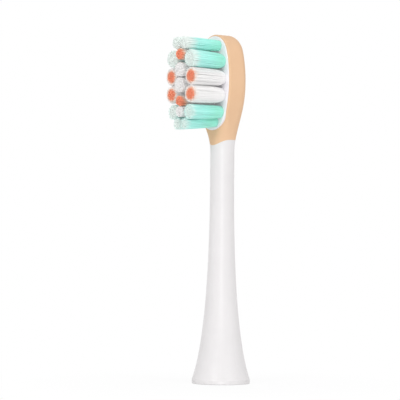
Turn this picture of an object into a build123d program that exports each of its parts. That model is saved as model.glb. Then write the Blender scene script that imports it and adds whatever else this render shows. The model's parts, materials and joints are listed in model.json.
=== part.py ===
from build123d import *
import os
from math import atan2, cos, pi, radians, sin, sqrt, tan

# Sonic toothbrush head. Millimetres, Z up the neck from the base rim, bristles facing -Y,
# X across the head. A flared white neck carries a tan shell moulded round its tongue, the
# shell holds a white bristle plate with its tufts, and the neck hides the drive sleeve.

# Neck: the flare is one smooth curve from the base band to the slim waist
BASE_RADIUS = 6.5
BASE_BAND = 0.9
BASE_EDGE = 0.2
NECK_RADIUS = 2.68
WAIST_DROP = 10.5
FLARE_SLOPE = 0.355
FLARE_FOOT = 8.0
FLARE_REACH = 20.0
NECK_WALL = 1.2

# Head: a leaning oval tablet with a large round on its back edge. Each drop is measured
# down from the foot of the bristle plate.
HEAD_HEIGHT = 67.0
HEAD_FORWARD = 2.6
HEAD_LEAN = 1.2
HEAD_THICKNESS = 5.45
BACK_ROUND = 2.1
FRONT_ROUND = 0.3
SHOULDER_DROP = 4.5
SHOULDER_BLEND = 1.0
SHOULDER_FULLNESS = 2.5
SHOULDER_STATIONS = 20
EDGE_START = 2.0
EDGE_END = 5.0
NECK_ROUNDNESS = 0.985

# Seam between the white neck and the tan shell, lower at the front than at the back
SEAM_FRONT_DROP = 3.5
SEAM_BACK_DROP = 2.15
SEAM_RISE_START = -2.85
SEAM_RISE_END = -0.3
SEAM_FRONT_PULL = 0.15
SEAM_FRONT_LIFT = 0.45
SEAM_BACK_PULL = 0.5

# Tongue of the neck inside the shell, with some plastic between it and the plate's pocket
TONGUE_ROOT_RADIUS = 1.5
TONGUE_COVER = 0.25
TONGUE_TIP_WIDTH = 6.4
TONGUE_TIP_THICKNESS = 1.8
TONGUE_REACH = 4.0
TONGUE_START = 1.0
MOULD_GAP = 0.02

# Bristle plate, set in a pocket and standing a little proud of the shell's rim. Its outline is
# four arcs: two ends, and two sides that bulge beyond them.
PLATE_HALF_WIDTH = 5.6
PLATE_HALF_LENGTH = 10.5
PLATE_BULGE = 0.95
PLATE_THICKNESS = 2.0
PLATE_PROUD = 0.22
PLATE_EDGE = 0.15
PLATE_GAP = 0.03
RIM_WIDTH = 0.35
ROOT_RECESS = 0.6
ROOT_RECESS_WALL = 0.3

# Tufts: the insets are from the ends of the plate, the side rows stand on an arc and fill the
# room between the centre row and the plate's margin. Each tuft is a bundle with a ring of strands
# round it, trimmed flat, and the extras say how far some tufts stand beyond the trim of the rest.
PLATE_MARGIN = 0.82
ROW_GAP = 1.06
SIDE_ARC = 34.0
SIDE_ROWS = 4
SIDE_TOP_INSET = 5.8
SIDE_FOOT_INSET = 3.95
SIDE_SPLAY = 0.1
CENTRE_ROWS = 4
CENTRE_TOP_INSET = 4.8
CENTRE_FOOT_INSET = 6.3
CENTRE_LAST_INSET = 4.0
CENTRE_RADIUS = 1.0
CENTRE_EXTRA = 0.5
TOP_INSET = 2.25
TOP_SPREAD = 1.6
TOP_RADIUS = 1.2
TOP_SPLAY = -0.2
TOP_RISE = 0.2
TOP_EXTRA = 0.35
FOOT_INSET = 1.78
FOOT_SPREAD = 1.2
FOOT_RADIUS = 1.12
FOOT_SPLAY = 0.12
FOOT_DROP = 0.85
FAN = 0.55
TRIM_FORWARD = 12.2
TUFT_FLARE = 1.14
TUFT_STRANDS = 12
STRAND_OVERLAP = 1.15
TUFT_GAP = 0.02
ROOT_FLANGE = 0.06
ROOT_THICKNESS = 0.45

# Drive sleeve and the spring clip that grips the handle's shaft
SHAFT_RADIUS = 1.75
SHAFT_CLEARANCE = 0.03
SHAFT_TIP_RADIUS = 1.45
SHAFT_FLAT = 1.15
SLEEVE_WALL = 0.74
SLEEVE_RECESS = 0.3
SLEEVE_LEAD_IN = 0.35
SLEEVE_FLANGE_RADIUS = 3.2
SLEEVE_FLANGE = 0.8
SLEEVE_CAP = 1.5
SLEEVE_GAP = 0.03
ROUND_BORE_TOP = 13.0
FLAT_BORE_TOP = 19.2
CAVITY_TOP = 15.5
CAVITY_FLARE = 0.65
CAVITY_REACH = 3.9
RIB_THICKNESS = 0.9
RIB_COUNT = 4
CLIP_WIDTH = 1.5
CLIP_THICKNESS = 0.25
CLIP_FOOT = 8.0
CLIP_BULGE = 0.45
CLIP_FOLD = 3.2
CLIP_GAP = 0.03

# Values worked out from the sizes above
head_half_width = PLATE_HALF_WIDTH + RIM_WIDTH
head_half_length = PLATE_HALF_LENGTH + RIM_WIDTH
end_radius = PLATE_HALF_WIDTH - PLATE_BULGE
end_place = PLATE_HALF_LENGTH - end_radius
side_arc_inset = (end_place**2 - PLATE_BULGE**2) / (2 * PLATE_BULGE)
meet_angle = atan2(end_place, side_arc_inset)
lean = radians(HEAD_LEAN)
head_axis = (0, sin(lean), cos(lean))
plate_normal = (0, -cos(lean), sin(lean))
plate_plane = Plane((0, -HEAD_FORWARD, HEAD_HEIGHT), x_dir=(1, 0, 0), z_dir=plate_normal)
middle_plane = Plane(plate_plane.origin, x_dir=(1, 0, 0), z_dir=head_axis)
plate_foot_height = HEAD_HEIGHT - PLATE_HALF_LENGTH
waist_height = plate_foot_height - WAIST_DROP
shoulder_height = plate_foot_height - SHOULDER_DROP
seam_front = plate_foot_height - SEAM_FRONT_DROP
seam_back = plate_foot_height - SEAM_BACK_DROP
tongue_top = HEAD_HEIGHT + TONGUE_REACH
pocket_depth = PLATE_THICKNESS - PLATE_PROUD
bore_radius = SHAFT_RADIUS + SHAFT_CLEARANCE
tip_bore_radius = SHAFT_TIP_RADIUS + SHAFT_CLEARANCE
sleeve_radius = bore_radius + SLEEVE_WALL
sleeve_top = FLAT_BORE_TOP + SLEEVE_CAP
seat_radius = sleeve_radius + SLEEVE_GAP
seat_top = sleeve_top + CLIP_THICKNESS + 3 * CLIP_GAP
foot_inside = BASE_RADIUS - NECK_WALL
cavity_foot = CAVITY_FLARE * FLARE_FOOT
rib_foot = SLEEVE_RECESS + SLEEVE_FLANGE + SLEEVE_GAP
recess_top = -pocket_depth + ROOT_RECESS
leaf_depth = sqrt(sleeve_radius**2 - (CLIP_WIDTH / 2) ** 2) - CLIP_THICKNESS / 2 - CLIP_GAP
fold_height = sleeve_top + CLIP_GAP + CLIP_THICKNESS / 2
window_foot = ROUND_BORE_TOP + CLIP_THICKNESS
window_top = FLAT_BORE_TOP - CLIP_THICKNESS
far = 4 * HEAD_HEIGHT

side_radius = (PLATE_HALF_WIDTH - PLATE_MARGIN - ROW_GAP - CENTRE_RADIUS) / 2
side_place = CENTRE_RADIUS + ROW_GAP + side_radius


def between(low, high, share):
    return low + (high - low) * share


def tuft_rows(count, top_inset, foot_inset):
    """Evenly spaced places along the plate, from the top one down."""
    top = PLATE_HALF_LENGTH - top_inset
    foot = foot_inset - PLATE_HALF_LENGTH
    return [between(top, foot, row / (count - 1)) for row in range(count)]


def fan(place):
    """How far a row's tips stand above its roots, more towards the ends of the plate."""
    return FAN * place / PLATE_HALF_LENGTH


# Every tuft: name, place across and along the plate, radius, shift of its tip, extra length
tufts = []
for sign, side in ((-1, "left"), (1, "right")):
    top_root = (sign * TOP_SPREAD, PLATE_HALF_LENGTH - TOP_INSET)
    foot_root = (sign * FOOT_SPREAD, FOOT_INSET - PLATE_HALF_LENGTH)
    top_shift = (sign * TOP_SPLAY, TOP_RISE)
    foot_shift = (sign * FOOT_SPLAY, -FOOT_DROP)
    tufts.append((f"tuft_top_{side}", top_root, TOP_RADIUS, top_shift, TOP_EXTRA))
    tufts.append((f"tuft_foot_{side}", foot_root, FOOT_RADIUS, foot_shift, 0))
    for row, place in enumerate(tuft_rows(SIDE_ROWS, SIDE_TOP_INSET, SIDE_FOOT_INSET), 1):
        bow = SIDE_ARC - sqrt(SIDE_ARC**2 - place**2)
        root = (sign * (side_place - bow), place)
        shift = (sign * SIDE_SPLAY, fan(place))
        tufts.append((f"tuft_{side}_{row}", root, side_radius, shift, 0))
centre_places = tuft_rows(CENTRE_ROWS, CENTRE_TOP_INSET, CENTRE_FOOT_INSET)
centre_places.append(CENTRE_LAST_INSET - PLATE_HALF_LENGTH)
for row, place in enumerate(centre_places, 1):
    tufts.append((f"tuft_centre_{row}", (0, place), CENTRE_RADIUS, (0, fan(place)), CENTRE_EXTRA))


def smooth(height, start, end):
    """Share from 0 to 1 that rises smoothly between two heights."""
    share = min(1.0, max(0.0, (height - start) / (end - start)))
    return share * share * (3 - 2 * share)


def ease(height, start, end, fullness):
    """Share from 0 to 1 that rises early, the more so the greater its fullness."""
    share = min(1.0, max(0.0, (height - start) / (end - start)))
    return 1 - (1 - share) ** fullness * (1 + fullness * share)


def plate_depth(height):
    """Y of the plate's plane at a height on the head."""
    return -HEAD_FORWARD + (height - HEAD_HEIGHT) * tan(lean)


def oval(grow):
    """The plate's four-arc outline, grown by a distance all round."""
    end = PLATE_HALF_LENGTH + grow
    side = PLATE_HALF_WIDTH + grow
    meet_x = (end_radius + grow) * cos(meet_angle)
    meet_y = end_place + (end_radius + grow) * sin(meet_angle)
    with BuildSketch() as outline:
        with BuildLine():
            ThreePointArc((-meet_x, meet_y), (0, end), (meet_x, meet_y))
            ThreePointArc((meet_x, meet_y), (side, 0), (meet_x, -meet_y))
            ThreePointArc((meet_x, -meet_y), (0, -end), (-meet_x, -meet_y))
            ThreePointArc((-meet_x, -meet_y), (-side, 0), (-meet_x, meet_y))
        make_face()
    return outline.sketch


def bundle(radius):
    """Outline of a tuft: a ring of strands that just run into each other."""
    half_pitch = STRAND_OVERLAP * sin(pi / TUFT_STRANDS)
    ring = radius / (1 + half_pitch)
    with BuildSketch() as outline:
        Circle(ring)
        with PolarLocations(ring, TUFT_STRANDS):
            Circle(radius - ring)
    return outline.sketch


def rounded_section(plane, half_width, front, back, front_round, back_round):
    """A rectangle across the head with one radius for its front and one for its back corners."""
    front_x = half_width - front_round
    front_y = front + front_round
    back_x = half_width - back_round
    back_y = back - back_round
    with BuildSketch(plane) as section:
        with BuildLine():
            Line((-front_x, front), (front_x, front))
            CenterArc((front_x, front_y), front_round, -90, 90)
            Line((half_width, front_y), (half_width, back_y))
            CenterArc((back_x, back_y), back_round, 0, 90)
            Line((back_x, back), (-back_x, back))
            CenterArc((-back_x, back_y), back_round, 90, 90)
            Line((-half_width, back_y), (-half_width, front_y))
            CenterArc((-front_x, front_y), front_round, 180, 90)
        make_face()
    return section.sketch.face()


def shoulder_section(height):
    """The section where the round neck widens into the flat head."""
    widen = ease(height, shoulder_height, HEAD_HEIGHT, SHOULDER_FULLNESS)
    flatten = smooth(height, shoulder_height - SHOULDER_BLEND, plate_foot_height + SHOULDER_BLEND)
    deepen = ((height - waist_height) / (HEAD_HEIGHT - waist_height)) ** 2
    sharpen = smooth(height, shoulder_height + EDGE_START, HEAD_HEIGHT - EDGE_END)
    neck_round = NECK_ROUNDNESS * NECK_RADIUS
    return rounded_section(
        Plane.XY.offset(height),
        between(NECK_RADIUS, head_half_width, widen),
        between(-NECK_RADIUS, plate_depth(height), flatten),
        between(NECK_RADIUS, HEAD_THICKNESS / cos(lean) - HEAD_FORWARD, deepen),
        between(neck_round, FRONT_ROUND, sharpen),
        between(neck_round, BACK_ROUND, widen),
    )


# Sections of the shoulder, from the round waist up to the middle of the head
sections = []
for station in range(SHOULDER_STATIONS):
    share = station / SHOULDER_STATIONS
    sections.append(shoulder_section(between(waist_height, HEAD_HEIGHT, share)))
sections.append(
    rounded_section(middle_plane, head_half_width, 0, HEAD_THICKNESS, FRONT_ROUND, BACK_ROUND)
)

# Outer form of neck and head together, which the seam then divides
with BuildPart() as outer_form:
    with BuildSketch(Plane.XZ):
        with BuildLine():
            Polyline((0, waist_height), (0, 0), (BASE_RADIUS, 0), (BASE_RADIUS, BASE_BAND))
            Bezier(
                (BASE_RADIUS, BASE_BAND),
                (BASE_RADIUS - FLARE_SLOPE * FLARE_FOOT, BASE_BAND + FLARE_FOOT),
                (NECK_RADIUS, waist_height - FLARE_REACH),
                (NECK_RADIUS, waist_height),
            )
            Line((NECK_RADIUS, waist_height), (0, waist_height))
        make_face()
    revolve(axis=Axis.Z)
    fillet(outer_form.edges().group_by(Axis.Z)[0], BASE_EDGE)
    loft(sections)

# Upper half of the head: half an oval with rounded front and back edges
with BuildPart() as crown:
    with BuildSketch(plate_plane):
        add(oval(RIM_WIDTH))
        upper_half = (Align.CENTER, Align.MIN)
        Rectangle(2 * head_half_width, head_half_length, align=upper_half, mode=Mode.INTERSECT)
    extrude(amount=-HEAD_THICKNESS)
    across = Axis(plate_plane.origin, plate_plane.z_dir)
    for face, edge_round in ((0, BACK_ROUND), (-1, FRONT_ROUND)):
        edges = crown.faces().sort_by(across)[face].edges()
        fillet(edges.filter_by(GeomType.LINE, reverse=True), edge_round)

# Everything above the seam, as one block
with BuildPart() as above_seam:
    with BuildSketch(Plane.YZ):
        rise = SEAM_RISE_END - SEAM_RISE_START
        with BuildLine():
            Line((-far, seam_front), (SEAM_RISE_START, seam_front))
            Bezier(
                (SEAM_RISE_START, seam_front),
                (SEAM_RISE_START + SEAM_FRONT_PULL * rise, between(seam_front, seam_back, SEAM_FRONT_LIFT)),
                (SEAM_RISE_END - SEAM_BACK_PULL * rise, seam_back),
                (SEAM_RISE_END, seam_back),
            )
            Polyline(
                (SEAM_RISE_END, seam_back),
                (far, seam_back),
                (far, far),
                (-far, far),
                (-far, seam_front),
            )
        make_face()
    extrude(amount=far, both=True)


def tongue(gap):
    """The neck's tongue, grown by a gap where it is the shell's cavity for it."""
    pocket_floor = plate_depth(plate_foot_height) + pocket_depth / cos(lean)
    root_depth = pocket_floor + TONGUE_COVER + TONGUE_ROOT_RADIUS
    tip_depth = plate_depth(tongue_top) + (pocket_depth + HEAD_THICKNESS) / (2 * cos(lean))
    with BuildPart() as form:
        with BuildSketch(Plane((0, root_depth, seam_front - TONGUE_START))):
            Circle(TONGUE_ROOT_RADIUS + gap)
        with BuildSketch(Plane((0, tip_depth, tongue_top + gap))):
            Ellipse(TONGUE_TIP_WIDTH / 2 + gap, TONGUE_TIP_THICKNESS / 2 + gap)
        loft()
    return form.part


# Tan shell: back and sides of the head, moulded round the neck's tongue
with BuildPart() as head_shell:
    add(outer_form.part)
    add(crown.part)
    add(above_seam.part, mode=Mode.INTERSECT)
    add(tongue(MOULD_GAP), mode=Mode.SUBTRACT)
    with BuildSketch(plate_plane.offset(-pocket_depth)):
        add(oval(PLATE_GAP))
    extrude(amount=HEAD_THICKNESS, mode=Mode.SUBTRACT)

# Ribs that hold the sleeve in the middle of the hollow foot
with BuildPart() as ribs:
    with BuildSketch(Plane.XY.offset(rib_foot)):
        with PolarLocations(0, RIB_COUNT // 2, start_angle=45, angular_range=180):
            Rectangle(2 * BASE_RADIUS, RIB_THICKNESS)
    extrude(amount=CAVITY_TOP - rib_foot)
    add(outer_form.part, mode=Mode.INTERSECT)

# White neck: hollow foot with its ribs and sleeve seat, and the tongue at the top
with BuildPart() as neck_shell:
    add(outer_form.part)
    add(above_seam.part, mode=Mode.SUBTRACT)
    with BuildSketch(Plane.XZ):
        with BuildLine():
            Polyline((0, CAVITY_TOP), (0, 0), (foot_inside, 0), (foot_inside, BASE_BAND))
            Bezier(
                (foot_inside, BASE_BAND),
                (foot_inside - FLARE_SLOPE * cavity_foot, BASE_BAND + cavity_foot),
                (seat_radius, CAVITY_TOP - CAVITY_REACH),
                (seat_radius, CAVITY_TOP),
            )
            Line((seat_radius, CAVITY_TOP), (0, CAVITY_TOP))
        make_face()
    revolve(axis=Axis.Z, mode=Mode.SUBTRACT)
    add(ribs.part)
    with BuildSketch(Plane.XY):
        Circle(seat_radius)
    extrude(amount=seat_top, mode=Mode.SUBTRACT)
    add(tongue(0))

# Bristle plate: oval, with one hole a tuft and a hollow behind for the melted roots
with BuildPart() as bristle_plate:
    with BuildSketch(plate_plane.offset(-pocket_depth)):
        add(oval(0))
    extrude(amount=PLATE_THICKNESS)
    fillet(bristle_plate.faces().sort_by(across)[-1].edges(), PLATE_EDGE)
    with BuildSketch(plate_plane.offset(-pocket_depth)):
        add(oval(-ROOT_RECESS_WALL))
    extrude(amount=ROOT_RECESS, mode=Mode.SUBTRACT)
    with BuildSketch(plate_plane.offset(-pocket_depth)):
        for name, root, radius, shift, extra in tufts:
            with Locations(root):
                Circle(radius + TUFT_GAP)
    extrude(amount=PLATE_THICKNESS, mode=Mode.SUBTRACT)

# Drive sleeve: round guide bore, flat-sided bore above it, and the clip's groove and window
with BuildPart() as drive_sleeve:
    with BuildSketch(Plane.XY.offset(SLEEVE_RECESS)):
        Circle(sleeve_radius)
    extrude(amount=sleeve_top - SLEEVE_RECESS)
    with BuildSketch(Plane.XY.offset(SLEEVE_RECESS)):
        Circle(SLEEVE_FLANGE_RADIUS)
    extrude(amount=SLEEVE_FLANGE)
    with BuildSketch(Plane.XY.offset(SLEEVE_RECESS)):
        Circle(bore_radius)
    extrude(amount=ROUND_BORE_TOP - SLEEVE_RECESS, mode=Mode.SUBTRACT)
    with BuildSketch(Plane.XY.offset(ROUND_BORE_TOP)):
        Circle(tip_bore_radius)
        with Locations((0, SHAFT_FLAT + SHAFT_CLEARANCE)):
            beyond_flat = (Align.CENTER, Align.MIN)
            Rectangle(2 * bore_radius, bore_radius, align=beyond_flat, mode=Mode.SUBTRACT)
    extrude(amount=FLAT_BORE_TOP - ROUND_BORE_TOP, mode=Mode.SUBTRACT)
    chamfer(drive_sleeve.edges().group_by(Axis.Z)[0].sort_by(SortBy.RADIUS)[0], SLEEVE_LEAD_IN)
    with BuildSketch(Plane.XY.offset(CLIP_FOOT - CLIP_GAP)):
        with Locations((0, -leaf_depth + CLIP_THICKNESS / 2 + CLIP_GAP)):
            Rectangle(CLIP_WIDTH + 2 * CLIP_GAP, sleeve_radius, align=(Align.CENTER, Align.MAX))
    extrude(amount=sleeve_top, mode=Mode.SUBTRACT)
    with BuildSketch(Plane.XY.offset(window_foot)):
        Rectangle(CLIP_WIDTH + 2 * CLIP_GAP, 2 * sleeve_radius, align=(Align.CENTER, Align.MAX))
    extrude(amount=window_top - window_foot, mode=Mode.SUBTRACT)

# Spring clip: a steel leaf in the groove that bows into the bore and folds over the sleeve
with BuildPart() as spring_clip:
    with BuildSketch(Plane.YZ):
        with BuildLine():
            Line((-leaf_depth, CLIP_FOOT), (-leaf_depth, window_foot + CLIP_THICKNESS))
            Spline(
                (-leaf_depth, window_foot + CLIP_THICKNESS),
                (-tip_bore_radius + CLIP_BULGE - CLIP_THICKNESS / 2, (window_foot + window_top) / 2),
                (-leaf_depth, window_top - CLIP_THICKNESS),
                tangents=((0, 1), (0, 1)),
            )
            Polyline(
                (-leaf_depth, window_top - CLIP_THICKNESS),
                (-leaf_depth, fold_height),
                (-leaf_depth + CLIP_FOLD, fold_height),
            )
        trace(line_width=CLIP_THICKNESS)
    extrude(amount=CLIP_WIDTH / 2, both=True)

os.makedirs("parts", exist_ok=True)
for name, root, radius, shift, extra in tufts:
    trim_plane = Plane((0, -TRIM_FORWARD - extra, 0), x_dir=(1, 0, 0), z_dir=(0, -1, 0))
    foot = plate_plane.offset(PLATE_PROUD).from_local_coords(Vector(*root))
    reach = (TRIM_FORWARD + extra + foot.Y) / cos(lean)
    tip = (foot.X + shift[0], foot.Z + reach * sin(lean) + shift[1])
    with BuildPart() as tuft:
        with BuildSketch(plate_plane.offset(recess_top - ROOT_THICKNESS)):
            with Locations(root):
                Circle(radius + ROOT_FLANGE)
        extrude(amount=ROOT_THICKNESS)
        with BuildSketch(plate_plane.offset(recess_top)):
            with Locations(root):
                add(bundle(radius))
        extrude(amount=PLATE_PROUD - recess_top)
        with BuildSketch(plate_plane.offset(PLATE_PROUD)):
            with Locations(root):
                add(bundle(radius))
        with BuildSketch(trim_plane):
            with Locations(tip):
                add(bundle(radius * TUFT_FLARE))
        loft()
    tuft.part.label = name
    export_step(tuft.part, f"parts/{name}.step")

for piece, name in (
    (neck_shell, "neck_shell"),
    (head_shell, "head_shell"),
    (bristle_plate, "bristle_plate"),
    (drive_sleeve, "drive_sleeve"),
    (spring_clip, "spring_clip"),
):
    piece.part.label = name
    export_step(piece.part, f"parts/{name}.step")
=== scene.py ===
import json
import math
import random

import bpy
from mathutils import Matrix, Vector


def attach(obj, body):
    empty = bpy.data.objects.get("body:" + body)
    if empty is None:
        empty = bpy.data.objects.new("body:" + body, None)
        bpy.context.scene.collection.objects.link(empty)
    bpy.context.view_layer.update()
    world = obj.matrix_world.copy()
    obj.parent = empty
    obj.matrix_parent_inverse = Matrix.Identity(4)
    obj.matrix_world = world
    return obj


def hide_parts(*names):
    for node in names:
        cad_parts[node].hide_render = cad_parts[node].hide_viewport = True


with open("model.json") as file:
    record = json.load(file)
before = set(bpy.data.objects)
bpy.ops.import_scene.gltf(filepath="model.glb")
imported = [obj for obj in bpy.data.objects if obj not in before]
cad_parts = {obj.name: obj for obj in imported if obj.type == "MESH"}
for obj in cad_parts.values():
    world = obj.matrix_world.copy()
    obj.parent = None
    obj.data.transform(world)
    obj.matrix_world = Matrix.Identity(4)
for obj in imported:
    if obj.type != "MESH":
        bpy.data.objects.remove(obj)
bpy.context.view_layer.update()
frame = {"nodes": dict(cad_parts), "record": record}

MM = 0.001
ACROSS = Vector((1.0, 0.0, 0.0))
UP = Vector((0.0, 0.0, 1.0))

# Camera: where the photograph was taken from, in degrees and metres, lens and sensor in mm
CAMERA_AZIMUTH = 52.0
CAMERA_DISTANCE = 0.560
CAMERA_HEIGHT = 0.038
CAMERA_LENS = 225.4
CAMERA_SENSOR = 36.0
CAMERA_ROLL = 0.4
CAMERA_CLIP = 0.01
AIM_HEIGHT = 0.04093
AIM_LEFT = 0.00492

# Bristle plate: how far it leans back, as in the solids
PLATE_LEAN = math.radians(1.2)
PLATE_NORMAL = Vector((0.0, -math.cos(PLATE_LEAN), math.sin(PLATE_LEAN)))
PLATE_UP = ACROSS.cross(-PLATE_NORMAL).normalized()

# Tufts on the solids: how near to a level a vertex counts as on it, in metres
LEVEL_TOLERANCE = 0.02 * MM

# Nylon filament: its radius in metres, its sides, and rings at shares of its length
FILAMENT_RADIUS = 0.095 * MM
FILAMENT_SIDES = 6
FILAMENT_STEPS = (0.0, 0.07, 0.18, 0.42, 0.7, 1.0)

# Rounded tip of a filament: (share of the way to its end, share of its radius)
TIP_RINGS = ((0.55, 0.92), (0.9, 0.62))

# Packing of the filaments in a tuft, in filament diameters
RING_PITCH = 0.93
STRAND_PITCH = 0.96

# How far a ring of filaments is turned for each filament placed before it
GOLDEN_ANGLE = math.pi * (3.0 - math.sqrt(5.0))

# How filaments differ in length, in the place of their tips and in their bend, in metres
LENGTH_SCATTER = 0.35 * MM
TIP_SCATTER = 0.12 * MM
BEND_SCATTER = 0.07 * MM

# Fall of a tuft's domed end, margin inside its rim and gap to its neighbours, in metres
TIP_DOME = 0.35 * MM
RIM_MARGIN = 0.01 * MM
TUFT_GAP = 0.06 * MM

# How far the tufts of each row open above the plate, in mm
TUFT_BLOOM = {"top": 0.10, "left": 0.42, "right": 0.42, "centre": 0.34, "foot": 0.12}

# Share of its length in which a tuft opens by about two thirds, and where its room is measured
BLOOM_RISE = 0.09
HALF_WAY = 0.5

# How wide a tuft may be at its tip, in tip radii of its solid
TIP_FLARE = {"top": 1.06, "left": 1.26, "right": 1.26, "centre": 1.50, "foot": 1.08}

# Melted root of a tuft behind the plate: (depth in mm, share of the tuft's radius) down its side
ROOT_SEGMENTS = 28
ROOT_DEPTH = 1.4 * MM
ROOT_PROFILE = ((0.40, 0.80), (0.32, 0.98), (0.10, 1.0), (0.0, 0.96))
ROOT_CROWN = 0.03 * MM

# Strand number of a root, which gives it the middle of the filaments' colours
ROOT_STRAND = 0.5

# Noise in the materials: the values it mostly lies between, and its detail
NOISE_LOW = 0.3
NOISE_HIGH = 0.7
FINE_DETAIL = 3.0
STREAK_DETAIL = 2.0

# Moulded plastic: scale of its clouds, spread of its roughness, strength of its grain, and gloss
CLOUD_SCALE = 160.0
ROUGHNESS_SPREAD = 0.05
GRAIN_STRENGTH = 0.35
PLASTIC_SPECULAR = 0.4

# Rolled steel: scale, stretch, depth and strength of its lines, its colours and its roughness
STEEL_SCALE = 900.0
STEEL_STRETCH = (8.0, 1.0, 0.15)
STEEL_DEPTH = 0.004 * MM
STEEL_STRENGTH = 0.4
STEEL_DARK = (0.50, 0.50, 0.51)
STEEL_LIGHT = (0.62, 0.62, 0.63)
STEEL_ROUGHNESS = (0.24, 0.40)

# Nylon: scale, stretch, depth and strength of its streaks, its brightness, roughness and gloss
STREAK_SCALE = 2500.0
STREAK_STRETCH = (1.0, 0.08, 1.0)
STREAK_DEPTH = 0.004 * MM
STREAK_STRENGTH = 0.3
NYLON_BRIGHTNESS = (0.95, 1.03)
NYLON_ROUGHNESS = (0.38, 0.52)
NYLON_SPECULAR = 0.3

# Dye: the length that its colours cover, and how far it differs between filaments, in metres
DYE_LENGTH = 10.0 * MM
DYE_SCATTER = 0.30 * MM

# Orange by row: how far it is full, and its middle across and up from the tuft's own, in mm
ORANGE_REACH = {"left": 0.70, "right": 0.78, "centre": 0.72}
ORANGE_MIDDLE = {"left": (0.14, -0.12), "right": (0.24, 0.0), "centre": (0.08, -0.2)}

# How fast the orange pales beyond its reach
ORANGE_PALING = 2.4

# How far the teal of each tuft comes nearer to the tips, in mm, and how much more at its rim
TEAL_LEAD = {
    "tuft_top_left": -1.2,
    "tuft_top_right": -1.0,
    "tuft_left_1": -0.4,
    "tuft_right_1": 0.2,
    "tuft_left_4": 0.2,
    "tuft_right_4": 1.1,
    "tuft_foot_left": 0.4,
    "tuft_foot_right": 1.1,
}
TEAL_RIM_LEAD = 1.0

# Colours along the filaments: (distance from the tip in mm, colour)
# Teal: the dye deepens from the pale tips towards the root. The stops nearest the tip are also
# lightened as painted light for the glow through the tuft ends, and the last stop, next to the plate,
# is darkened as painted shade.
TEAL_DYE_AND_PAINTED_LIGHT_STOPS = (
    (0.0, (0.93, 0.99, 0.96)),
    (0.8, (0.90, 0.99, 0.955)),
    (1.9, (0.79, 0.985, 0.945)),
    (3.3, (0.53, 0.985, 0.918)),
    (6.0, (0.475, 0.982, 0.893)),
    (9.5, (0.40, 0.93, 0.775)),
)
ORANGE_STOPS = (
    (0.0, (0.99, 0.38, 0.23)),
    (0.9, (0.99, 0.40, 0.25)),
    (1.3, (0.99, 0.60, 0.44)),
    (2.0, (0.985, 0.90, 0.85)),
    (3.0, (0.985, 0.975, 0.97)),
    (10.0, (0.985, 0.975, 0.975)),
)
WHITE_STOPS = (
    (0.0, (0.975, 0.965, 0.96)),
    (2.0, (0.985, 0.975, 0.97)),
    (10.0, (0.985, 0.975, 0.975)),
)

# Stage: the floor's reach and fade in metres, its greys, its glow, and the world as a light
FLOOR_REACH = 3.0
FLOOR_PAPER = 0.85
FLOOR_SHADE = 0.12
FLOOR_LIFT = 0.88
FLOOR_FADE = (0.015, 0.05)
WORLD_LIGHT = 0.69
WHITE = (1.0, 1.0, 1.0, 1.0)

# Softboxes: azimuth and elevation in degrees, distance and size in metres, power in watts
SOFTBOXES = {
    "front_softbox": (52.0, 0.0, 0.9, 0.08, 1.5),
    "left_softbox": (20.0, 30.0, 0.7, 0.20, 0.75),
    "right_softbox": (96.0, 35.0, 0.7, 0.20, 0.60),
    "back_softbox": (240.0, 20.0, 0.7, 0.20, 0.75),
}


def new_object(name, data):
    """A new object in the scene."""
    made = bpy.data.objects.new(name, data)
    bpy.context.scene.collection.objects.link(made)
    return made


def new_material(name):
    """A node material with its Principled shader, ready for links."""
    material = bpy.data.materials.new(name)
    material.use_nodes = True
    tree = material.node_tree
    return material, tree, tree.nodes["Principled BSDF"]


def add_node(tree, kind, **values):
    """A node of a kind, with some of its properties set."""
    node = tree.nodes.new(kind)
    for name, value in values.items():
        setattr(node, name, value)
    return node


def noise(tree, scale, detail, stretch=(1.0, 1.0, 1.0)):
    """Noise in the object's own metres."""
    place = add_node(tree, "ShaderNodeTexCoord")
    mapping = add_node(tree, "ShaderNodeMapping")
    mapping.inputs["Scale"].default_value = stretch
    texture = add_node(tree, "ShaderNodeTexNoise")
    texture.inputs["Scale"].default_value = scale
    texture.inputs["Detail"].default_value = detail
    tree.links.new(place.outputs["Object"], mapping.inputs["Vector"])
    tree.links.new(mapping.outputs["Vector"], texture.inputs["Vector"])
    return texture.outputs["Fac"]


def spread(tree, value, low, high, start=NOISE_LOW, end=NOISE_HIGH):
    """A value that goes from start to end, turned to the range low to high."""
    node = add_node(tree, "ShaderNodeMapRange")
    node.inputs["From Min"].default_value = start
    node.inputs["From Max"].default_value = end
    node.inputs["To Min"].default_value = low
    node.inputs["To Max"].default_value = high
    tree.links.new(value, node.inputs["Value"])
    return node.outputs["Result"]


def ramp(tree, value, stops):
    """A colour ramp of (place, colour) stops."""
    node = add_node(tree, "ShaderNodeValToRGB")
    elements = node.color_ramp.elements
    for place, _ in stops[len(elements):]:
        elements.new(place)
    for element, (place, colour) in zip(elements, stops):
        element.position = place
        element.color = (*colour, 1.0)
    tree.links.new(value, node.inputs["Fac"])
    return node.outputs["Color"]


def bump(tree, height, distance, strength, shader):
    """Fine relief on a shader's surface."""
    node = add_node(tree, "ShaderNodeBump")
    node.inputs["Distance"].default_value = distance
    node.inputs["Strength"].default_value = strength
    tree.links.new(height, node.inputs["Height"])
    tree.links.new(node.outputs["Normal"], shader.inputs["Normal"])


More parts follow.
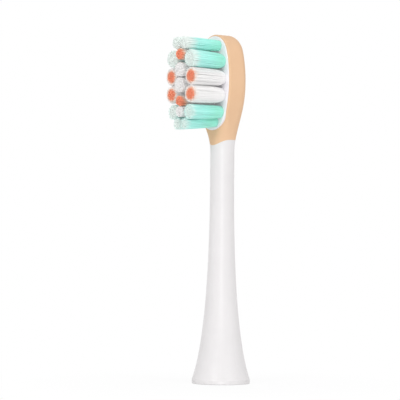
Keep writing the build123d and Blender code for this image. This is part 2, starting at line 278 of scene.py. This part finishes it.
def moulded_plastic(name, dark, light, roughness, grain, depth, specular=PLASTIC_SPECULAR):
    """Moulded plastic: a faint cloudiness in its colour and a fine spark-eroded grain."""
    material, tree, shader = new_material(name)
    cloud = noise(tree, CLOUD_SCALE, FINE_DETAIL)
    colour = ramp(tree, cloud, ((NOISE_LOW, dark), (NOISE_HIGH, light)))
    tree.links.new(colour, shader.inputs["Base Color"])
    fine = noise(tree, grain, FINE_DETAIL)
    rough = spread(tree, fine, roughness - ROUGHNESS_SPREAD, roughness + ROUGHNESS_SPREAD)
    tree.links.new(rough, shader.inputs["Roughness"])
    bump(tree, fine, depth, GRAIN_STRENGTH, shader)
    shader.inputs["Specular IOR Level"].default_value = specular
    return material


def rolled_steel(name):
    """Rolled strip: fine lines along its length."""
    material, tree, shader = new_material(name)
    lines = noise(tree, STEEL_SCALE, FINE_DETAIL, STEEL_STRETCH)
    colour = ramp(tree, lines, ((NOISE_LOW, STEEL_DARK), (NOISE_HIGH, STEEL_LIGHT)))
    tree.links.new(colour, shader.inputs["Base Color"])
    tree.links.new(spread(tree, lines, *STEEL_ROUGHNESS), shader.inputs["Roughness"])
    bump(tree, lines, STEEL_DEPTH, STEEL_STRENGTH, shader)
    shader.inputs["Metallic"].default_value = 1.0
    return material


def nylon(name, stops):
    """Filaments coloured by the distance from their tips, with small differences between them."""
    material, tree, shader = new_material(name)
    from_tip = add_node(tree, "ShaderNodeAttribute", attribute_name="from_tip")
    strand = add_node(tree, "ShaderNodeAttribute", attribute_name="strand")
    shift = spread(tree, strand.outputs["Fac"], -DYE_SCATTER, DYE_SCATTER, 0.0, 1.0)
    moved = add_node(tree, "ShaderNodeMath", operation="ADD")
    tree.links.new(from_tip.outputs["Fac"], moved.inputs[0])
    tree.links.new(shift, moved.inputs[1])
    share = spread(tree, moved.outputs["Value"], 0.0, 1.0, 0.0, DYE_LENGTH)
    colour = ramp(tree, share, [(place * MM / DYE_LENGTH, colour) for place, colour in stops])
    tint = add_node(tree, "ShaderNodeHueSaturation")
    tree.links.new(colour, tint.inputs["Color"])
    brightness = spread(tree, strand.outputs["Fac"], *NYLON_BRIGHTNESS, 0.0, 1.0)
    tree.links.new(brightness, tint.inputs["Value"])
    tree.links.new(tint.outputs["Color"], shader.inputs["Base Color"])
    streak = noise(tree, STREAK_SCALE, STREAK_DETAIL, STREAK_STRETCH)
    tree.links.new(spread(tree, streak, *NYLON_ROUGHNESS), shader.inputs["Roughness"])
    bump(tree, streak, STREAK_DEPTH, STREAK_STRENGTH, shader)
    shader.inputs["Specular IOR Level"].default_value = NYLON_SPECULAR
    return material


# Finishes of the moulded pieces and the clip
materials = {
    "neck_shell": moulded_plastic(
        "white_plastic",
        dark=(0.79, 0.77, 0.775),
        light=(0.82, 0.80, 0.805),
        roughness=0.36,
        grain=2600.0,
        depth=0.006 * MM,
    ),
    "head_shell": moulded_plastic(
        "tan_plastic",
        dark=(0.81, 0.53, 0.33),
        light=(0.84, 0.56, 0.355),
        roughness=0.55,
        grain=2200.0,
        depth=0.009 * MM,
        specular=0.12,
    ),
    "bristle_plate": moulded_plastic(
        "plate_plastic",
        dark=(0.91, 0.885, 0.92),
        light=(0.94, 0.915, 0.95),
        roughness=0.40,
        grain=2600.0,
        depth=0.005 * MM,
    ),
    "drive_sleeve": moulded_plastic(
        "sleeve_plastic",
        dark=(0.66, 0.66, 0.64),
        light=(0.72, 0.72, 0.70),
        roughness=0.50,
        grain=1800.0,
        depth=0.008 * MM,
        specular=0.35,
    ),
    "spring_clip": rolled_steel("clip_steel"),
}
for node, material in materials.items():
    piece = frame["nodes"][node]
    piece.data.materials.clear()
    piece.data.materials.append(material)

# Finishes of the filaments
bristle_materials = {
    # the teal ramp holds painted light at its tips and painted shade at its root
    "teal_bristle": nylon("teal_nylon", TEAL_DYE_AND_PAINTED_LIGHT_STOPS),
    "orange_tip_bristle": nylon("orange_tip_nylon", ORANGE_STOPS),
    "white_bristle": nylon("white_nylon", WHITE_STOPS),
}


class MeshData:
    """Vertices and faces of one piece, with two numbers kept for each vertex."""

    def __init__(self):
        self.points = []
        self.faces = []
        self.from_tip = []
        self.strand = []

    def add_point(self, point, from_tip, strand):
        """One vertex; gives its number."""
        self.points.append(tuple(point))
        self.from_tip.append(from_tip)
        self.strand.append(strand)
        return len(self.points) - 1

    def add_ring(self, centre, axes, radius, count, from_tip, strand):
        """A ring of points in the plane of two axes."""
        ring = []
        for side in range(count):
            angle = math.tau * side / count
            offset = axes[0] * math.cos(angle) + axes[1] * math.sin(angle)
            ring.append(self.add_point(centre + offset * radius, from_tip, strand))
        return ring

    def close_tube(self, rings):
        """Close a tube over rings of equal count; its ends are single points."""
        first, *middle, last = rings
        count = len(middle[0])
        for side in range(count):
            after = (side + 1) % count
            self.faces.append((first, middle[0][after], middle[0][side]))
            self.faces.append((last, middle[-1][side], middle[-1][after]))
        for low, high in zip(middle, middle[1:]):
            for side in range(count):
                after = (side + 1) % count
                self.faces.append((low[side], low[after], high[after], high[side]))

    def make(self, name, material):
        """The piece, with its two numbers as attributes for the material."""
        mesh = bpy.data.meshes.new(name)
        mesh.from_pydata(self.points, [], self.faces)
        for label, values in (("from_tip", self.from_tip), ("strand", self.strand)):
            layer = mesh.attributes.new(label, "FLOAT", "POINT")
            layer.data.foreach_set("value", values)
        mesh.materials.append(material)
        mesh.shade_smooth()
        return new_object(name, mesh)


def middle_of(points):
    """The middle of the box round some points."""
    low = Vector([min(p[i] for p in points) for i in range(3)])
    high = Vector([max(p[i] for p in points) for i in range(3)])
    return (low + high) / 2.0


def tuft_frame(node):
    """Foot, tip and their radii of a tuft, measured on its solid."""
    points = [Vector(v.co) for v in frame["nodes"][node].data.vertices]
    plate = frame["nodes"]["bristle_plate"].data.vertices
    face_level = max(PLATE_NORMAL.dot(v.co) for v in plate)
    foot_ring = [p for p in points if abs(PLATE_NORMAL.dot(p) - face_level) < LEVEL_TOLERANCE]
    foot = middle_of(foot_ring)
    foot_radius = max((p - foot).length for p in foot_ring)
    trim = min(p.y for p in points)
    tip_ring = [p for p in points if p.y - trim < LEVEL_TOLERANCE]
    tip = middle_of(tip_ring)
    tip_radius = max((p - tip).length for p in tip_ring)
    return foot, foot_radius, tip, tip_radius


def add_root(data, foot, radius, length):
    """The melted button that holds a tuft behind the plate."""
    axes = (ACROSS, -PLATE_UP)
    top = foot - PLATE_NORMAL * ROOT_DEPTH
    rings = [data.add_point(top - PLATE_NORMAL * ROOT_PROFILE[0][0] * MM, length, ROOT_STRAND)]
    for depth, share in ROOT_PROFILE:
        centre = top - PLATE_NORMAL * depth * MM
        rings.append(data.add_ring(centre, axes, radius * share, ROOT_SEGMENTS, length, ROOT_STRAND))
    rings.append(data.add_point(top + PLATE_NORMAL * ROOT_CROWN, length, ROOT_STRAND))
    data.close_tube(rings)


def opening(share):
    """How much of its bloom a tuft has along its length: most soon above the plate, none at its tip."""
    return (1.0 - share) * (1.0 - math.exp(-share / BLOOM_RISE))


def bow(share):
    """How far a bent filament stands off its straight line: nought at its ends, one half way."""
    return 4.0 * share * (1.0 - share)


def add_filament(data, draw, foot, tip, bloom, cut, shift):
    """One filament: straight through its hole, then blooming and leaning out to its rounded tip."""
    strand = draw.random()
    shorter = cut + draw.random() ** 2 * LENGTH_SCATTER
    bend = Vector((draw.uniform(-1, 1), 0.0, draw.uniform(-1, 1))) * BEND_SCATTER
    run = tip - foot
    length = run.length + shift
    ahead = run.normalized()
    end = tip - ahead * shorter
    body = end - ahead * FILAMENT_RADIUS
    turn = draw.random()
    along = run.cross(ACROSS).normalized()
    axes = (
        ACROSS * math.cos(turn) + along * math.sin(turn),
        along * math.cos(turn) - ACROSS * math.sin(turn),
    )
    start = foot - PLATE_NORMAL * ROOT_DEPTH
    rings = [data.add_point(start, length, strand)]
    rings.append(data.add_ring(start, axes, FILAMENT_RADIUS, FILAMENT_SIDES, length, strand))
    for share in FILAMENT_STEPS:
        centre = foot.lerp(body, share) + bend * bow(share) + bloom * opening(share)
        from_tip = run.length * (1.0 - share) + shift
        rings.append(data.add_ring(centre, axes, FILAMENT_RADIUS, FILAMENT_SIDES, from_tip, strand))
    for share, narrow in TIP_RINGS:
        centre = body.lerp(end, share)
        radius = FILAMENT_RADIUS * narrow
        rings.append(data.add_ring(centre, axes, radius, FILAMENT_SIDES, shift, strand))
    rings.append(data.add_point(end, shift, strand))
    data.close_tube(rings)


def tuft_places(room):
    """Filaments packed in rings: how far out each stands, as a share of the room, and its angle."""
    places = []
    ring = room
    while ring > 0.0:
        count = max(1, int(math.pi * ring / (FILAMENT_RADIUS * STRAND_PITCH)))
        start = len(places) * GOLDEN_ANGLE
        for index in range(count):
            places.append((ring / room, start + math.tau * index / count))
        ring -= 2.0 * FILAMENT_RADIUS * RING_PITCH
    return places


def row_of(node):
    """The row a tuft stands in, from its name."""
    return node.split("_")[1]


def dye_shift(node, slot, x, z, room):
    """How far the dye of a filament is moved towards its tip, by its place in the tuft."""
    if slot == "orange_tip_bristle":
        row = row_of(node)
        across, up = ORANGE_MIDDLE[row]
        distance = math.hypot(x * room - across * MM, z * room - up * MM)
        return ORANGE_PALING * max(0.0, distance - ORANGE_REACH[row] * MM)
    if slot == "teal_bristle":
        return (TEAL_LEAD[node] + TEAL_RIM_LEAD * (x * x + z * z)) * MM
    return 0.0


def room_beside(node, share):
    """How wide a tuft may open at a share of its length before it meets its neighbours."""
    places = {}
    radii = {}
    for name, (foot, foot_radius, tip, tip_radius) in tuft_frames.items():
        places[name] = foot.lerp(tip, share)
        radii[name] = foot_radius + (tip_radius - foot_radius) * share
    own = radii.pop(node)
    rooms = []
    for name, radius in radii.items():
        distance = (places[node] - places[name]).length
        rooms.append(distance * own / (own + radius))
    return min(rooms) - TUFT_GAP / 2.0


def make_tuft(node, slot, seed):
    """A tuft of separate filaments in place of its solid, as open as its neighbours let it be."""
    draw = random.Random(seed)
    foot, foot_radius, tip, tip_radius = tuft_frames[node]
    data = MeshData()
    add_root(data, foot, foot_radius, (tip - foot).length)
    row = row_of(node)
    open_radius = min(tip_radius * TIP_FLARE[row], room_beside(node, 1.0))
    spare = room_beside(node, HALF_WAY) - (foot_radius + open_radius) / 2.0
    bloom = max(0.0, min(TUFT_BLOOM[row] * MM, spare / opening(HALF_WAY)))
    foot_room = foot_radius - FILAMENT_RADIUS - RIM_MARGIN
    tip_room = open_radius - FILAMENT_RADIUS - RIM_MARGIN
    for share, angle in tuft_places(tip_room):
        x, z = share * math.cos(angle), share * math.sin(angle)
        outward = ACROSS * x + PLATE_UP * z
        drift = draw.uniform(0.0, math.tau)
        scatter = TIP_SCATTER * draw.random()
        end_x = x * tip_room + scatter * math.cos(drift)
        end_z = z * tip_room + scatter * math.sin(drift)
        cut = TIP_DOME * share**2
        shift = dye_shift(node, slot, x, z, tip_room)
        end = tip + ACROSS * end_x + UP * end_z
        add_filament(data, draw, foot + outward * foot_room, end, outward * bloom, cut, shift)
    piece = data.make(node + "_filaments", bristle_materials[slot])
    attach(piece, "root")
    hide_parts(node)


slot_of = {row["node"]: row["material_slot"] for row in frame["record"]["subparts"]}
tuft_frames = {node: tuft_frame(node) for node in sorted(slot_of) if node.startswith("tuft_")}
for seed, node in enumerate(tuft_frames):
    make_tuft(node, slot_of[node], seed)


def grey(value):
    """A neutral colour."""
    return (value, value, value, 1.0)


def looked_at(tree):
    """One for camera, mirror and glass rays, nought for the light that falls on the part."""
    path = add_node(tree, "ShaderNodeLightPath")
    looking = path.outputs["Is Camera Ray"]
    for ray in ("Is Glossy Ray", "Is Transmission Ray"):
        either = add_node(tree, "ShaderNodeMath", operation="MAXIMUM")
        tree.links.new(looking, either.inputs[0])
        tree.links.new(path.outputs[ray], either.inputs[1])
        looking = either.outputs["Value"]
    return looking


def floor_paper():
    """Paper that shows the shadow near the part and is plain white further off."""
    material = bpy.data.materials.new("floor_paper")
    material.use_nodes = True
    tree = material.node_tree
    tree.nodes.clear()
    output = add_node(tree, "ShaderNodeOutputMaterial")
    paper = add_node(tree, "ShaderNodeBsdfDiffuse")
    paper.inputs["Color"].default_value = grey(FLOOR_PAPER)
    shade = add_node(tree, "ShaderNodeBsdfDiffuse")
    shade.inputs["Color"].default_value = grey(FLOOR_SHADE)
    lift = add_node(tree, "ShaderNodeEmission")
    lift.inputs["Strength"].default_value = FLOOR_LIFT
    near = add_node(tree, "ShaderNodeAddShader")
    tree.links.new(shade.outputs["BSDF"], near.inputs[0])
    tree.links.new(lift.outputs["Emission"], near.inputs[1])
    white = add_node(tree, "ShaderNodeEmission")
    place = add_node(tree, "ShaderNodeTexCoord")
    distance = add_node(tree, "ShaderNodeVectorMath", operation="LENGTH")
    tree.links.new(place.outputs["Object"], distance.inputs[0])
    fade = spread(tree, distance.outputs["Value"], 0.0, 1.0, *FLOOR_FADE)
    seen = add_node(tree, "ShaderNodeMixShader")
    tree.links.new(fade, seen.inputs["Fac"])
    tree.links.new(near.outputs["Shader"], seen.inputs[1])
    tree.links.new(white.outputs["Emission"], seen.inputs[2])
    final = add_node(tree, "ShaderNodeMixShader")
    tree.links.new(looked_at(tree), final.inputs["Fac"])
    tree.links.new(paper.outputs["BSDF"], final.inputs[1])
    tree.links.new(seen.outputs["Shader"], final.inputs[2])
    tree.links.new(final.outputs["Shader"], output.inputs["Surface"])
    return material


def make_floor():
    """A pale floor that the part stands on."""
    corners = [(-1, -1), (1, -1), (1, 1), (-1, 1)]
    mesh = bpy.data.meshes.new("floor")
    mesh.from_pydata([(x * FLOOR_REACH, y * FLOOR_REACH, 0.0) for x, y in corners], [], [(0, 1, 2, 3)])
    mesh.materials.append(floor_paper())
    floor = new_object("floor", mesh)


def make_world():
    """White to look at, softer as a light."""
    world = bpy.data.worlds.new("studio")
    bpy.context.scene.world = world
    world.use_nodes = True
    tree = world.node_tree
    tree.nodes.clear()
    output = add_node(tree, "ShaderNodeOutputWorld")
    light = add_node(tree, "ShaderNodeBackground")
    light.inputs["Color"].default_value = WHITE
    light.inputs["Strength"].default_value = WORLD_LIGHT
    white = add_node(tree, "ShaderNodeBackground")
    white.inputs["Color"].default_value = WHITE
    mix = add_node(tree, "ShaderNodeMixShader")
    tree.links.new(looked_at(tree), mix.inputs["Fac"])
    tree.links.new(light.outputs["Background"], mix.inputs[1])
    tree.links.new(white.outputs["Background"], mix.inputs[2])
    tree.links.new(mix.outputs["Shader"], output.inputs["Surface"])


def outward_at(azimuth, elevation=0.0):
    """The direction from the part to a place round it, with the bristles' side at nought degrees."""
    turn, rise = math.radians(azimuth), math.radians(elevation)
    return Vector((
        math.sin(turn) * math.cos(rise),
        -math.cos(turn) * math.cos(rise),
        math.sin(rise),
    ))


def turn_to(piece, direction):
    """Turn a lamp or a camera so that it looks in a direction."""
    piece.rotation_euler = direction.to_track_quat("-Z", "Y").to_euler()


def add_softbox(name, azimuth, elevation, distance, size, watts):
    """A square area lamp that faces the middle of the part."""
    lamp = bpy.data.lights.new(name, "AREA")
    lamp.shape = "SQUARE"
    lamp.size = size
    lamp.energy = watts
    softbox = new_object(name, lamp)
    away = outward_at(azimuth, elevation)
    softbox.location = UP * AIM_HEIGHT + away * distance
    turn_to(softbox, -away)


def make_camera():
    """The camera, where the photograph was taken from."""
    out = outward_at(CAMERA_AZIMUTH)
    right = UP.cross(out)
    data = bpy.data.cameras.new("camera")
    data.sensor_width = CAMERA_SENSOR
    data.lens = CAMERA_LENS
    data.clip_start = CAMERA_CLIP
    camera = new_object("camera", data)
    camera.location = out * CAMERA_DISTANCE + UP * CAMERA_HEIGHT
    aim = UP * AIM_HEIGHT - right * AIM_LEFT
    turn_to(camera, aim - camera.location)
    camera.rotation_euler.rotate_axis("Z", math.radians(CAMERA_ROLL))
    bpy.context.scene.camera = camera


make_floor()
make_world()
for name, settings in SOFTBOXES.items():
    add_softbox(name, *settings)
make_camera()
bpy.context.scene.view_settings.view_transform = "Standard"
